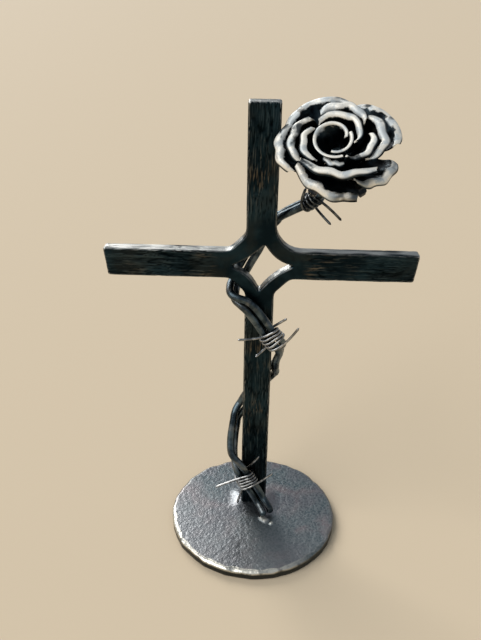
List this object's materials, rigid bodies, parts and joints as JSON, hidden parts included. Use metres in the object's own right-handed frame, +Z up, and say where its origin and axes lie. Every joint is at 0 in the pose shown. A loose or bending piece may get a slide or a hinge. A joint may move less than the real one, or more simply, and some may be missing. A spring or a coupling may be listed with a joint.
{
  "type": "wrought iron cross",
  "caption": "Standing cross of slit and opened iron bar on a round hammered plate, with a climbing double stem, barbed wire and a forged rose.",
  "frame": {"origin": "middle of the round base plate's underside", "axes": "+Z up along the post, +X along the right arm, -Y towards the front"},
  "size_m": [0.2666, 0.162, 0.408],
  "materials": {
    "blackened_bar": "forge black, grained and worn bright on the edges",
    "hammered_plate": "hammered all over, grey with heat tints",
    "dark_rod": "dark, lightly polished",
    "bright_wire": "bright",
    "burnished_sheet": "dark hollows and wire-brushed rims",
    "dark_sepals": "forge black"
  },
  "bodies": {
    "root": {"cross": "blackened_bar", "base_plate": "hammered_plate", "stem_rod_a": "dark_rod", "stem_rod_b": "dark_rod", "lower_barb_wire_a": "bright_wire", "lower_barb_wire_b": "bright_wire", "middle_barb_wire_a": "bright_wire", "middle_barb_wire_b": "bright_wire", "upper_barb_wire_a": "bright_wire", "upper_barb_wire_b": "bright_wire", "rose_calyx": "dark_sepals", "rose_outer_petals": "burnished_sheet", "rose_middle_petals": "burnished_sheet", "rose_inner_petals": "burnished_sheet", "rose_heart": "burnished_sheet"}
  },
  "joints": []
}
